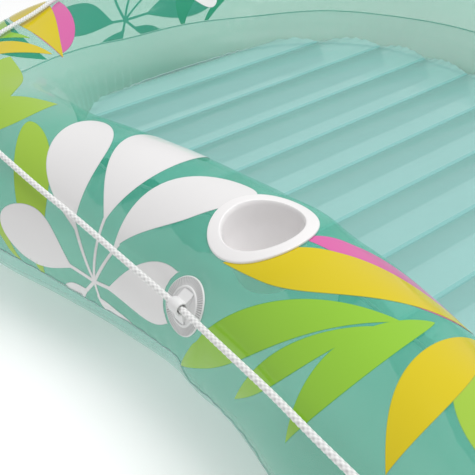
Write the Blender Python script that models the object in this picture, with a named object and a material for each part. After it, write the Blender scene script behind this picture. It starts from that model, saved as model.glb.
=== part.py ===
"""Inflatable pool float: an air ring with a ribbed air floor, two cup holders,
a grab rope threaded through ten welded eyelets, and two push-in air valves.

Metres, +Z up. +X runs along the float from its head end to its wider foot end,
and the floor's ribs run along Y. The origin is on the ground under the middle.
"""
import math

import bmesh
import bpy
import numpy as np
from mathutils import Vector

# Ring: the centre line of the tube, seen from above. One half, from the middle of
# the head end to the middle of the foot end, as (x, distance from the long axis).
HALF_OUTLINE = [
    (-0.855, 0.000), (-0.845, 0.165), (-0.752, 0.352), (-0.630, 0.447),
    (-0.475, 0.474), (-0.340, 0.462), (-0.210, 0.453), (-0.045, 0.464),
    (0.085, 0.495), (0.170, 0.526), (0.290, 0.569), (0.430, 0.596),
    (0.570, 0.588), (0.700, 0.530), (0.798, 0.408), (0.844, 0.220),
    (0.855, 0.000),
]
TUBE_RADIUS = 0.120
RING_STATIONS = 72          # cross-sections around the ring
# The upper skin is divided at these cross-sections, so that a short length of it
# surrounds each cup holder.
UPPER_PANELS = [("left_cup", 15, 18), ("foot", 18, 54), ("right_cup", 54, 57), ("head", 57, 87)]
FACET = 18.0                # degrees of tube per facet
OUTER_SEAM = -14.5          # degrees up from the tube's widest outer line
INNER_SEAM = 189.0
SKIN = 0.0006               # wall of the ring skins
SEAM_GAP = 0.0004
# One facet of the tube lies flat on the ground.
TUBE_HEIGHT = TUBE_RADIUS * math.cos(math.radians(FACET / 2))

# Floor: a top and a bottom sheet held apart by upright webs.
RIB_PITCH = 0.101
FIRST_WEB = -0.6565
WEB_COUNT = 14
FLOOR_END = 0.724           # x of the floor's two straight ends
FLOOR_CLEARANCE = 0.002     # between the sheets and the ring
SHEET = 0.0006
WEB = 0.0006
TOP_VALLEY = 0.104
TOP_CREST = 0.118
BOTTOM_VALLEY = 0.060
BOTTOM_CREST = 0.047

# Cup holders, one on each side, sunk in the crest of the tube.
CUP_X = -0.045
CUP_TILT = 81.0             # degrees up the tube's outer side
CUP_MOUTH_R = 0.045
CUP_BASE_R = 0.0345
CUP_DEPTH = 0.068
CUP_WALL = 0.0018
CUP_FLANGE_R = 0.060
CUP_FLANGE_T = 0.0032
CUP_BEND = 0.150            # radius that the flange is bent to, across the tube
CUP_LIFT = 0.0014           # flange's underside above the tube's surface
CUP_HOLE_R = 0.0485
CUP_SIDES = 24

# Rope and its eyelets. Each eyelet is (x of the tube's centre line, degrees up).
ROPE_R = 0.0040
SIDE_EYELETS = [(-0.620, 50.0), (-0.054, 22.8), (0.450, 38.0), (0.790, 40.0)]
HEAD_EYELET_ANGLE = 50.0
FOOT_EYELET_ANGLE = 40.0
EYELET_R = 0.032
EYELET_DISC_T = 0.0020
EYELET_LIFT = 0.0016        # disc's underside above the tube's surface
BOSS_HALF_BASE = 0.018
BOSS_THICKNESS = 0.014
BOSS_NOSE_R = 0.0080
HOLE_HEIGHT = 0.0115        # rope hole's axis above the tube's surface
HOLE_R = 0.0054
ROPE_CLEARANCE = 0.0075     # rope's axis above the tube between eyelets
ROPE_SPAN_POINTS = 5
KNOT_HALF_LENGTH = 0.014
KNOT_R = 0.0095
KNOT_OFFSET = 0.110         # from the foot eyelet, along the ring

# Valves: a welded seat, a stem that slides into it, a plug on a strap, a flap.
SEAT_FLANGE_R = 0.021
SEAT_FLANGE_T = 0.0018
SEAT_BORE_R = 0.0094
SEAT_SLEEVE_R = 0.0110
SEAT_SLEEVE_END = -0.0160
SEAT_LIFT = 0.0014
VALVE_HOLE_R = 0.0118
STEM_R = 0.0090
STEM_BORE_R = 0.0062
STEM_LIP_R = 0.0115
STEM_LIP_T = 0.0016
STEM_LENGTH = 0.0200
HINGE_U = 0.0136            # plug's hinge from the stem's axis
PLUG_R = 0.0105
PLUG_T = 0.0020
PLUG_PIN_R = 0.0050
PLUG_PIN_LENGTH = 0.0040
FLAP_R = 0.0082
FLAP_T = 0.0008
PART_GAP = 0.0003
RING_VALVE_Y = 0.210        # on the foot end's crest
FLOOR_VALVE_X = 0.6060      # on the crest of a floor rib
FLOOR_VALVE_Y = 0.120
VALVE_SIDES = 20


def remove_objects():
    for item in list(bpy.data.objects):
        bpy.data.objects.remove(item, do_unlink=True)


def material(name, color, roughness):
    result = bpy.data.materials.new(name)
    result.use_nodes = True
    shader = result.node_tree.nodes["Principled BSDF"]
    shader.inputs["Base Color"].default_value = (*color, 1.0)
    shader.inputs["Roughness"].default_value = roughness
    shader.inputs["Metallic"].default_value = 0.0
    return result


def closed_spline(points, samples):
    """Periodic cubic spline through the points, sampled at even arc lengths."""
    knots = np.array(points, float)
    following = np.roll(knots, -1, axis=0)
    step = np.linalg.norm(following - knots, axis=1)
    count = len(knots)
    system = np.zeros((count, count))
    right = np.zeros((count, 2))
    for i in range(count):
        before = step[i - 1]
        after = step[i]
        system[i, i - 1] += before
        system[i, i] += 2 * (before + after)
        system[i, (i + 1) % count] += after
        right[i] = 6 * ((following[i] - knots[i]) / after - (knots[i] - knots[i - 1]) / before)
    bend = np.linalg.solve(system, right)
    dense = []
    for i in range(count):
        length = step[i]
        bend_next = bend[(i + 1) % count]
        for t in np.linspace(0, length, 60, endpoint=False):
            back = length - t
            dense.append(
                (bend[i] * back ** 3 + bend_next * t ** 3) / (6 * length)
                + (knots[i] / length - bend[i] * length / 6) * back
                + (following[i] / length - bend_next * length / 6) * t)
    dense.append(dense[0])
    dense = np.array(dense)
    travelled = np.concatenate([[0], np.cumsum(np.linalg.norm(np.diff(dense, axis=0), axis=1))])
    even = np.linspace(0, travelled[-1], samples, endpoint=False)
    curve = np.column_stack([np.interp(even, travelled, dense[:, axis]) for axis in (0, 1)])
    return curve, travelled[-1]


NEAR_SIDE = [(x, -y) for x, y in HALF_OUTLINE]
FAR_SIDE = [(x, y) for x, y in HALF_OUTLINE[-2:0:-1]]
CENTRE_SAMPLES = 1600
CENTRE, RING_LENGTH = closed_spline(NEAR_SIDE + FAR_SIDE, CENTRE_SAMPLES)
TANGENT = np.roll(CENTRE, -1, axis=0) - np.roll(CENTRE, 1, axis=0)
TANGENT = TANGENT / np.linalg.norm(TANGENT, axis=1)[:, None]


def ring_section(s):
    """Centre point, direction along the ring and outward direction at arc length s."""
    place = (s / RING_LENGTH) % 1.0 * CENTRE_SAMPLES
    low = int(place)
    blend = place - low
    high = (low + 1) % CENTRE_SAMPLES
    centre = CENTRE[low] * (1 - blend) + CENTRE[high] * blend
    along = TANGENT[low] * (1 - blend) + TANGENT[high] * blend
    along = along / np.linalg.norm(along)
    return (Vector((centre[0], centre[1], TUBE_HEIGHT)),
            Vector((along[0], along[1], 0.0)),
            Vector((along[1], -along[0], 0.0)))


def ring_frame(s, angle):
    """Surface point with the directions along, up across and out of the tube."""
    centre, along, outward = ring_section(s)
    turn = math.radians(angle)
    normal = outward * math.cos(turn) + Vector((0, 0, math.sin(turn)))
    across = outward * -math.sin(turn) + Vector((0, 0, math.cos(turn)))
    return centre + normal * TUBE_RADIUS, along, across, normal


def ring_point(s, angle, offset=0.0):
    point, _, _, normal = ring_frame(s, angle)
    return point + normal * offset


def station_at_x(x, near=True):
    """Arc length where the centre line passes x, on the near (-Y) or the far side."""
    half = CENTRE_SAMPLES // 2
    index = int(np.argmin(np.abs(CENTRE[:half, 0] - x)))
    s = index / CENTRE_SAMPLES * RING_LENGTH
    return s if near else RING_LENGTH - s


def out_of_tube(point, offset):
    """Move a point straight out of the tube until it is at least offset above the skin."""
    nearest = CENTRE[np.argmin((CENTRE[:, 0] - point.x) ** 2 + (CENTRE[:, 1] - point.y) ** 2)]
    axis = Vector((nearest[0], nearest[1], TUBE_HEIGHT))
    spoke = point - axis
    reach = TUBE_RADIUS + offset
    if spoke.length < reach:
        spoke = spoke.normalized() * reach
    return axis + spoke


def finish_object(name, mesh, finish):
    mesh.materials.append(finish)
    item = bpy.data.objects.new(name, mesh)
    bpy.context.scene.collection.objects.link(item)
    return item


def object_from_rings(name, rings, finish, joined=False):
    """Skin a list of equal rings of points; the ends are capped, or joined to each other."""
    body = bmesh.new()
    loops = [[body.verts.new(point) for point in ring] for ring in rings]
    pairs = list(zip(loops, loops[1:]))
    if joined:
        pairs.append((loops[-1], loops[0]))
    else:
        body.faces.new(loops[0])
        body.faces.new(loops[-1])
    for first, second in pairs:
        for i in range(len(first)):
            j = (i + 1) % len(first)
            body.faces.new((first[i], first[j], second[j], second[i]))
    bmesh.ops.recalc_face_normals(body, faces=body.faces)
    mesh = bpy.data.meshes.new(name)
    body.to_mesh(mesh)
    body.free()
    mesh.shade_smooth()
    mesh.set_sharp_from_angle(angle=math.radians(40))
    return finish_object(name, mesh, finish)


def guide_object(name, rings, joined=False):
    """A shape that only cuts or extends another; it is no part of the float itself."""
    guide = object_from_rings(name, rings, GUIDE, joined)
    guide.hide_render = True
    guide.display_type = "WIRE"
    return guide


def combine(item, other, operation):
    change = item.modifiers.new(other.name, "BOOLEAN")
    change.operation = operation
    change.solver = "EXACT"
    change.object = other


def circle(frame, radius, height, sides):
    point, along, across, normal = frame
    turns = [2 * math.pi * k / sides for k in range(sides)]
    return [point + along * (radius * math.cos(t)) + across * (radius * math.sin(t)) + normal * height
            for t in turns]


def ring_skin(name, from_angle, to_angle, finish, first=0, last=RING_STATIONS):
    """A thin open channel of the tube's wall, all the way round the ring or between two stations."""
    gap = math.degrees(SEAM_GAP / TUBE_RADIUS)
    edges = [FACET * (k - 0.5) for k in range(21)]
    angles = [from_angle + gap] + [e for e in edges if from_angle + 1 < e < to_angle - 1] + [to_angle - gap]
    joined = last - first == RING_STATIONS
    stations = [RING_LENGTH * k / RING_STATIONS for k in range(first, last if joined else last + 1)]
    if not joined:
        stations[0] += PART_GAP / 2
        stations[-1] -= PART_GAP / 2
    sections = []
    for s in stations:
        outside = [ring_point(s, angle) for angle in angles]
        inside = [ring_point(s, angle, -SKIN) for angle in reversed(angles)]
        sections.append(outside + inside)
    return object_from_rings(name, sections, finish, joined)


def floor_half_width(x, height):
    """Half width of the floor at x, up to the ring's inner wall at this height."""
    reach = math.sqrt(TUBE_RADIUS ** 2 - (height - TUBE_HEIGHT) ** 2) + FLOOR_CLEARANCE
    half = CENTRE_SAMPLES // 2
    wall = CENTRE[:half] - np.column_stack([TANGENT[:half, 1], -TANGENT[:half, 0]]) * reach
    return float(np.interp(x, wall[:, 0], -wall[:, 1]))


def floor_stations(per_bay):
    """(x, crest share) along the floor: 0 in the valleys over the webs, 1 on the crests."""
    valleys = [-FLOOR_END] + [FIRST_WEB + RIB_PITCH * k for k in range(WEB_COUNT)] + [FLOOR_END]
    stations = []
    for left, right in zip(valleys, valleys[1:]):
        for k in range(per_bay):
            share = k / per_bay
            stations.append((left + (right - left) * share, math.sin(math.pi * share)))
    stations.append((FLOOR_END, 0.0))
    return stations


def floor_sheet(name, valley, crest, thickness, per_bay, strips, finish):
    """A corrugated sheet: its outer face follows the ribs, its inner face backs it."""
    sections = []
    for x, share in floor_stations(per_bay):
        height = valley + (crest - valley) * share
        half = floor_half_width(x, height)
        spread = [half * (2 * k / strips - 1) for k in range(strips + 1)]
        outer = [Vector((x, y, height)) for y in spread]
        inner = [Vector((x, y, height - thickness)) for y in reversed(spread)]
        sections.append(outer + inner)
    return object_from_rings(name, sections, finish)


def floor_web(name, x, finish):
    """The upright strip that ties the two sheets together along one valley."""
    low = BOTTOM_VALLEY + SHEET + PART_GAP
    high = TOP_VALLEY - SHEET - PART_GAP
    half_low = floor_half_width(x, low)
    half_high = floor_half_width(x, high)
    rings = []
    for side in (-WEB / 2, WEB / 2):
        rings.append([Vector((x + side, -half_low, low)), Vector((x + side, half_low, low)),
                      Vector((x + side, half_high, high)), Vector((x + side, -half_high, high))])
    return object_from_rings(name, rings, finish)


def cup_ring(frame, radius, height, follow):
    """A ring of the cup; follow is how far it takes up the flange's bend across the tube."""
    _, _, across, normal = frame
    points = []
    for point in circle(frame, radius, height, CUP_SIDES):
        aside = (point - frame[0]).dot(across)
        drop = CUP_BEND - math.sqrt(CUP_BEND ** 2 - aside ** 2)
        points.append(point - normal * (drop * follow))
    return points


def cup_holder(name, s, angle, finish):
    frame = ring_frame(s, angle)
    top = CUP_LIFT + CUP_FLANGE_T
    rounding = CUP_FLANGE_T / 2
    outside = [
        (CUP_BASE_R - 0.008, -CUP_DEPTH - CUP_WALL, 0.0),
        (CUP_BASE_R - 0.001, -CUP_DEPTH + 0.003, 0.0),
        (CUP_MOUTH_R, -0.026, 0.3),
        (CUP_MOUTH_R + CUP_WALL, -0.008, 1.0),
        (CUP_MOUTH_R + CUP_WALL, CUP_LIFT, 1.0),
        (CUP_FLANGE_R - rounding, CUP_LIFT, 1.0),
        (CUP_FLANGE_R, CUP_LIFT + rounding, 1.0),
        (CUP_FLANGE_R - rounding, top, 1.0),
    ]
    inside = [
        (CUP_MOUTH_R + 0.0030, top, 1.0),
        (CUP_MOUTH_R, top - 0.0030, 1.0),
        (CUP_MOUTH_R - CUP_WALL, -0.026, 0.3),
        (CUP_BASE_R - CUP_WALL - 0.001, -CUP_DEPTH + 0.004, 0.0),
        (CUP_BASE_R - 0.010, -CUP_DEPTH, 0.0),
    ]
    rings = [cup_ring(frame, *row) for row in outside + inside]
    return object_from_rings(name, rings, finish)


def drop_onto_tube(point, frame, offset):
    """Lay a point of a flat disc on the curved skin, keeping its outline as seen from outside."""
    _, _, across, normal = frame
    aside = (point - frame[0]).dot(across)
    sunk = point - normal * (TUBE_RADIUS - math.sqrt(TUBE_RADIUS ** 2 - aside ** 2))
    nearest = CENTRE[np.argmin((CENTRE[:, 0] - sunk.x) ** 2 + (CENTRE[:, 1] - sunk.y) ** 2)]
    axis = Vector((nearest[0], nearest[1], TUBE_HEIGHT))
    return axis + (sunk - axis).normalized() * (TUBE_RADIUS + offset)


def boss_outline():
    """Rounded triangle around the rope hole, as (across, height) pairs, nose outermost."""
    base = EYELET_LIFT + EYELET_DISC_T / 2
    points = [(BOSS_HALF_BASE * k / 2, base) for k in (-2, -1, 0, 1, 2)]
    for k in range(11):
        turn = math.radians(-20 + 22 * k)
        points.append((BOSS_NOSE_R * math.cos(turn), HOLE_HEIGHT + BOSS_NOSE_R * math.sin(turn)))
    return points


def eyelet(name, s, angle, finish):
    """Round base disc laid on the skin, with a boss that the rope runs through."""
    frame = ring_frame(s, angle)
    point, along, across, normal = frame
    top = EYELET_LIFT + EYELET_DISC_T
    rings = []
    for radius, height in ((EYELET_R / 2, EYELET_LIFT), (EYELET_R, EYELET_LIFT),
                           (EYELET_R - 0.001, top), (EYELET_R / 2, top)):
        rings.append([drop_onto_tube(q, frame, height) for q in circle(frame, radius, 0.0, 18)])
    disc = object_from_rings(name, rings, finish)
    outline = boss_outline()
    hole = []
    for side, height in outline:
        turn = math.atan2(height - HOLE_HEIGHT, side)
        hole.append((HOLE_R * math.cos(turn), HOLE_HEIGHT + HOLE_R * math.sin(turn)))
    half = BOSS_THICKNESS / 2

    def placed(pairs, shift):
        return [point + along * shift + across * a + normal * h for a, h in pairs]

    boss = guide_object(
        name + "_boss",
        [placed(outline, -half), placed(outline, half), placed(hole, half), placed(hole, -half)],
        joined=True)
    combine(disc, boss, "UNION")
    return disc


def rope_run(first, second):
    """Points of a taut rope between two eyelets, resting on the tube where it must."""
    points = []
    for k in range(1, ROPE_SPAN_POINTS + 1):
        share = k / (ROPE_SPAN_POINTS + 1)
        points.append(out_of_tube(first.lerp(second, share), ROPE_CLEARANCE))
    return points


def eyelet_pass(s, angle):
    """Three points on the axis of an eyelet's hole: before, in and after the boss."""
    point, along, _, normal = ring_frame(s, angle)
    middle = point + normal * HOLE_HEIGHT
    reach = along * (BOSS_THICKNESS / 2 + 0.004)
    return [middle - reach, middle, middle + reach]


def rope(name, eyelets, knot_middle, knot_along, finish):
    """One rope round the whole ring, from one end of the knot back to its other end."""
    reach = knot_along * (KNOT_HALF_LENGTH + PART_GAP)
    lead = knot_along * KNOT_HALF_LENGTH
    route = [knot_middle + reach, knot_middle + reach + lead]
    for s, angle in eyelets:
        passing = eyelet_pass(s, angle)
        route += rope_run(route[-1], passing[0]) + passing
    route += rope_run(route[-1], knot_middle - reach - lead)
    route += [knot_middle - reach - lead, knot_middle - reach]
    line = bpy.data.curves.new(name, "CURVE")
    line.dimensions = "3D"
    line.bevel_depth = ROPE_R
    line.bevel_resolution = 2
    line.use_fill_caps = True
    spline = line.splines.new("POLY")
    spline.points.add(len(route) - 1)
    for place, point in zip(spline.points, route):
        place.co = (*point, 1.0)
    line.materials.append(finish)
    item = bpy.data.objects.new(name, line)
    bpy.context.scene.collection.objects.link(item)
    return item


def knot(name, s, angle, finish):
    point, along, across, normal = ring_frame(s, angle)
    middle = point + normal * (ROPE_CLEARANCE + 0.003)
    rings = []
    for share in (-1.0, -0.8, -0.4, 0.0, 0.4, 0.8, 1.0):
        radius = KNOT_R * (1.0 - 0.55 * share ** 4)
        centre = middle + along * (KNOT_HALF_LENGTH * share)
        rings.append([centre + across * (radius * math.cos(t)) + normal * (radius * math.sin(t))
                      for t in (2 * math.pi * k / 10 for k in range(10))])
    object_from_rings(name, rings, finish)
    return middle, along


def turned(name, frame, rows, finish, sides=VALVE_SIDES, joined=True):
    rings = [circle(frame, radius, height, sides) for radius, height in rows]
    return object_from_rings(name, rings, finish, joined)


def lug_circle(frame, radius, height, reach, sides=VALVE_SIDES):
    """A circle with a square lug towards the hinge, out to reach along the ring."""
    point, along, across, normal = frame
    points = []
    for k in range(sides):
        turn = 2 * math.pi * k / sides
        u = radius * math.cos(turn)
        v = radius * math.sin(turn)
        if abs(v) < 0.0035 and u > 0:
            u = reach
        points.append(point + along * u + across * v + normal * height)
    return points


def valve(prefix, frame, finish):
    """Seat, stem, plug and flap. The frame's point is on the skin, its last axis points out."""
    flange_top = SEAT_LIFT + SEAT_FLANGE_T
    turned(prefix + "_valve_seat", frame, [
        (SEAT_BORE_R, SEAT_SLEEVE_END), (SEAT_SLEEVE_R, SEAT_SLEEVE_END), (SEAT_SLEEVE_R, SEAT_LIFT),
        (SEAT_FLANGE_R, SEAT_LIFT), (SEAT_FLANGE_R, flange_top - 0.0005),
        (SEAT_FLANGE_R - 0.001, flange_top), (SEAT_BORE_R, flange_top)], finish)
    lip = flange_top + PART_GAP
    stem_end = lip - STEM_LENGTH
    lug = HINGE_U - 0.0006
    stem_rings = [
        circle(frame, STEM_BORE_R, stem_end, VALVE_SIDES), circle(frame, STEM_R, stem_end, VALVE_SIDES),
        circle(frame, STEM_R, lip, VALVE_SIDES), lug_circle(frame, STEM_LIP_R, lip, lug),
        lug_circle(frame, STEM_LIP_R, lip + STEM_LIP_T, lug),
        circle(frame, STEM_BORE_R, lip + STEM_LIP_T, VALVE_SIDES)]
    object_from_rings(prefix + "_valve_stem", stem_rings, finish, joined=True)
    under = lip + STEM_LIP_T + PART_GAP
    plug_rings = [
        circle(frame, PLUG_PIN_R - 0.0006, under - PLUG_PIN_LENGTH, VALVE_SIDES),
        circle(frame, PLUG_PIN_R, under - PLUG_PIN_LENGTH + 0.0008, VALVE_SIDES),
        circle(frame, PLUG_PIN_R + 0.0006, under, VALVE_SIDES), lug_circle(frame, PLUG_R, under, HINGE_U),
        lug_circle(frame, PLUG_R, under + PLUG_T - 0.0005, HINGE_U),
        lug_circle(frame, PLUG_R - 0.0008, under + PLUG_T, HINGE_U - 0.0008)]
    object_from_rings(prefix + "_valve_plug", plug_rings, finish)
    flap_top = stem_end - PART_GAP
    turned(prefix + "_valve_flap", frame, [(FLAP_R, flap_top - FLAP_T), (FLAP_R, flap_top)], finish,
           joined=False)


remove_objects()
PRINTED_VINYL = material("printed_vinyl", (0.16, 0.50, 0.42), 0.22)
PLAIN_VINYL = material("plain_vinyl", (0.18, 0.52, 0.44), 0.20)
FLOOR_VINYL = material("floor_vinyl", (0.36, 0.66, 0.60), 0.25)
WHITE_VINYL = material("white_vinyl", (0.86, 0.87, 0.87), 0.25)
ROPE_FIBRE = material("rope_fibre", (0.85, 0.85, 0.83), 0.70)
VALVE_VINYL = material("valve_vinyl", (0.75, 0.84, 0.84), 0.30)
GUIDE = material("guide", (1.0, 0.0, 0.0), 0.5)

panels = {}
for name, first, last in UPPER_PANELS:
    panels[name] = ring_skin("ring_upper_skin_" + name, OUTER_SEAM, INNER_SEAM, PRINTED_VINYL, first, last)
ring_skin("ring_lower_skin", INNER_SEAM, 360.0 + OUTER_SEAM, PLAIN_VINYL)
top_sheet = floor_sheet("floor_top_sheet", TOP_VALLEY, TOP_CREST, SHEET, 4, 6, FLOOR_VINYL)
floor_sheet("floor_bottom_sheet", BOTTOM_VALLEY, BOTTOM_CREST, -SHEET, 2, 4, FLOOR_VINYL)
for index in range(WEB_COUNT):
    floor_web(f"floor_web_{index + 1:02d}", FIRST_WEB + RIB_PITCH * index, FLOOR_VINYL)

for side, near in (("left", True), ("right", False)):
    station = station_at_x(CUP_X, near)
    cup_holder(side + "_cup_holder", station, CUP_TILT, WHITE_VINYL)
    place = ring_frame(station, CUP_TILT)
    hole = guide_object(side + "_cup_hole", [circle(place, CUP_HOLE_R, h, CUP_SIDES) for h in (-0.03, 0.02)])
    combine(panels[side + "_cup"], hole, "DIFFERENCE")

foot = RING_LENGTH / 2
eyelets = [(station_at_x(x), angle) for x, angle in SIDE_EYELETS]
eyelets += [(foot, FOOT_EYELET_ANGLE)]
eyelets += [(RING_LENGTH - s, angle) for s, angle in reversed(eyelets[:-1])]
eyelets += [(RING_LENGTH, HEAD_EYELET_ANGLE)]
for index, (s, angle) in enumerate(eyelets):
    eyelet(f"rope_eyelet_{index + 1:02d}", s, angle, WHITE_VINYL)

knot_middle, knot_along = knot("rope_knot", foot + KNOT_OFFSET, FOOT_EYELET_ANGLE, ROPE_FIBRE)
after_knot = [(s + RING_LENGTH if s < foot + KNOT_OFFSET else s, a) for s, a in eyelets]
rope("grab_rope", sorted(after_knot), knot_middle, knot_along, ROPE_FIBRE)

# The foot end's middle faces +X, so the ring valve sits beside the middle, on the crest.
valve_station = foot + RING_VALVE_Y
ring_place = ring_frame(valve_station, 90.0)
valve("ring", ring_place, VALVE_VINYL)
combine(panels["foot"], guide_object("ring_valve_hole", [circle(ring_place, VALVE_HOLE_R, h, VALVE_SIDES)
                                                         for h in (-0.02, 0.02)]), "DIFFERENCE")
floor_place = (Vector((FLOOR_VALVE_X, FLOOR_VALVE_Y, TOP_CREST)), Vector((0, 1, 0)), Vector((-1, 0, 0)),
               Vector((0, 0, 1)))
valve("floor", floor_place, VALVE_VINYL)
combine(top_sheet, guide_object("floor_valve_hole", [circle(floor_place, VALVE_HOLE_R, h, VALVE_SIDES)
                                                     for h in (-0.02, 0.02)]), "DIFFERENCE")
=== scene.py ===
# Looks of an inflatable lounge float: a printed air ring, a ribbed air floor,
# two cup holders, rope eyelets with their grab rope, and two air valves.
import math

import bpy
import numpy as np
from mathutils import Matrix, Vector


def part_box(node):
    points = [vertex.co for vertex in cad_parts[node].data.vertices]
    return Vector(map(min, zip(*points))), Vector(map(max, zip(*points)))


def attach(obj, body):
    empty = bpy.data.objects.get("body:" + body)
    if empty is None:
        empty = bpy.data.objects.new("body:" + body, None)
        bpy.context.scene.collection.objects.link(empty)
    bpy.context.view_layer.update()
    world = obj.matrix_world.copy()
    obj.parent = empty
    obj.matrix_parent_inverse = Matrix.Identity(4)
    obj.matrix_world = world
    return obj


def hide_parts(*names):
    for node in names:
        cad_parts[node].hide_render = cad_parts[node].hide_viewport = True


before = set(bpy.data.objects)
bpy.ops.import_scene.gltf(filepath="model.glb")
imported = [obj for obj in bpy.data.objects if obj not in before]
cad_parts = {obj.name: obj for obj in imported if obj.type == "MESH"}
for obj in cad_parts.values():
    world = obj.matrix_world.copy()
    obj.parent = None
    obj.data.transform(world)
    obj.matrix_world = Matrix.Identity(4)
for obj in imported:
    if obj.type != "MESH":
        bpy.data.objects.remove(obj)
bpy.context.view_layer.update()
bpy.ops.object.select_all(action="DESELECT")

# --- Camera -----------------------------------------------------------------
# A short telephoto lens looks down on the left side of the ring, where the
# cup holder sits, from in front of the foot end.
bpy.ops.object.camera_add(location=(0.6074, -1.1430, 0.7590),
                          rotation=(math.radians(60.0), 0.0, math.radians(46.4)))
camera = bpy.context.object
camera.data.sensor_width = 36.0
camera.data.lens = 76.8
bpy.context.scene.camera = camera

# --- Ring films -------------------------------------------------------------
# The ring is an air tube of two thin vinyl films, cut flat and welded along an
# outer and an inner seam. The upper film is tinted and printed, the lower one
# is plain. Air pressure rounds it; the welds pull small puckers into it.
HALF_OUTLINE = [
    (-0.855, 0.000), (-0.845, 0.165), (-0.752, 0.352), (-0.630, 0.447),
    (-0.475, 0.474), (-0.340, 0.462), (-0.210, 0.453), (-0.045, 0.464),
    (0.085, 0.495), (0.170, 0.526), (0.290, 0.569), (0.430, 0.596),
    (0.570, 0.588), (0.700, 0.530), (0.798, 0.408), (0.844, 0.220),
    (0.855, 0.000),
]
TUBE_RADIUS = 0.120
TUBE_HEIGHT = TUBE_RADIUS * math.cos(math.radians(9.0))
LOWEST = 0.0002
SAMPLES = 1600


def closed_spline(points, samples):
    """Even points along a smooth closed line through the outline, and its length."""
    knots = np.array(points, float)
    following = np.roll(knots, -1, axis=0)
    step = np.linalg.norm(following - knots, axis=1)
    slope = (following - knots) / step[:, None]
    count = len(knots)
    system = np.zeros((count, count))
    for i in range(count):
        system[i, i - 1] += step[i - 1]
        system[i, i] += 2 * (step[i - 1] + step[i])
        system[i, (i + 1) % count] += step[i]
    bend = np.linalg.solve(system, 6 * (slope - np.roll(slope, 1, axis=0)))
    dense = []
    for i in range(count):
        after = bend[(i + 1) % count]
        for t in np.linspace(0, step[i], 60, endpoint=False):
            back = step[i] - t
            dense.append((bend[i] * back ** 3 + after * t ** 3) / (6 * step[i])
                         + (knots[i] / step[i] - bend[i] * step[i] / 6) * back
                         + (following[i] / step[i] - after * step[i] / 6) * t)
    dense = np.array(dense + dense[:1])
    travelled = np.append(0, np.cumsum(np.linalg.norm(np.diff(dense, axis=0), axis=1)))
    even = np.linspace(0, travelled[-1], samples, endpoint=False)
    return np.column_stack([np.interp(even, travelled, dense[:, k]) for k in (0, 1)]), travelled[-1]


CENTRE, RING_LENGTH = closed_spline(
    [(x, -y) for x, y in HALF_OUTLINE] + [(x, y) for x, y in HALF_OUTLINE[-2:0:-1]], SAMPLES)
ALONG = np.roll(CENTRE, -1, axis=0) - np.roll(CENTRE, 1, axis=0)
ALONG = ALONG / np.linalg.norm(ALONG, axis=1)[:, None]
AHEAD = np.roll(ALONG, -12, axis=0)
BEHIND = np.roll(ALONG, 12, axis=0)
TURN = BEHIND[:, 0] * AHEAD[:, 1] - BEHIND[:, 1] * AHEAD[:, 0]
CURVING = TURN / (24 * RING_LENGTH / SAMPLES)


def along_ring(table, s):
    """Value at s along the tube, from a table with one row for each sample of its line."""
    place = (np.asarray(s, float) / RING_LENGTH % 1.0) * SAMPLES
    low = place.astype(int) % SAMPLES
    share = place - np.floor(place)
    if table.ndim == 2:
        share = share[..., None]
    return table[low] * (1 - share) + table[(low + 1) % SAMPLES] * share


def on_ring(s, w, lift=0.0):
    """Points at s along the tube and w round it, up from its widest line, lifted off it."""
    s, w, lift = np.broadcast_arrays(np.asarray(s, float), w, lift)
    centre = along_ring(CENTRE, s)
    along = along_ring(ALONG, s)
    reach = TUBE_RADIUS + lift
    out = reach * np.cos(w / TUBE_RADIUS)
    height = TUBE_HEIGHT + reach * np.sin(w / TUBE_RADIUS)
    return np.stack([centre[..., 0] + along[..., 1] * out, centre[..., 1] - along[..., 0] * out,
                     np.maximum(height, LOWEST)], axis=-1)


def ring_axes(s, w):
    """Point on the tube there, and the directions along it, up round it and out of it."""
    point = Vector(on_ring(s, w))
    normal = (Vector(on_ring(s, w, 0.01)) - point).normalized()
    along = Vector((*along_ring(ALONG, s), 0.0)).normalized()
    return point, along, normal.cross(along), normal


def station_at_x(x):
    return int(np.argmin(np.abs(CENTRE[:SAMPLES // 2, 0] - x))) / SAMPLES * RING_LENGTH


def round_tube(degrees):
    return math.radians(degrees) * TUBE_RADIUS


CUP_S = station_at_x(-0.045)
CUP_W = round_tube(81.0)
CUP_FLANGE_R = 0.060
CUP_BEND = 0.150
CUP_LIFT = 0.0014
FOOT_S = RING_LENGTH / 2
CUPS = {"left": CUP_S, "right": RING_LENGTH - CUP_S}
EYELET_R = 0.032
EYELET_LIFT = 0.0016
EYELETS = [(station_at_x(x), round_tube(angle))
           for x, angle in ((-0.620, 50.0), (-0.054, 22.8), (0.450, 38.0), (0.790, 40.0))]
EYELETS = (EYELETS + [(FOOT_S, round_tube(40.0))]
           + [(RING_LENGTH - s, w) for s, w in reversed(EYELETS)] + [(RING_LENGTH, round_tube(50.0))])
VALVE_S = FOOT_S + 0.210
VALVE_W = round_tube(90.0)
SEAM_W = round_tube(-15.0)
INNER_SEAM_W = round_tube(189.0)
SEAM_CORNER = CUP_S - 0.022


def away(s, w, piece_s, piece_w):
    """Distance along and round the skin from a piece that is welded on."""
    ds = (s - piece_s + RING_LENGTH / 2) % RING_LENGTH - RING_LENGTH / 2
    stretch = 1 + along_ring(CURVING, piece_s) * TUBE_RADIUS * math.cos(piece_w / TUBE_RADIUS)
    return ds * float(stretch), w - piece_w


def fade(distance, near, far):
    """1 up to near, then falling smoothly to 0 at far."""
    t = np.clip((far - distance) / (far - near), 0, 1)
    return t * t * (3 - 2 * t)


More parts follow.
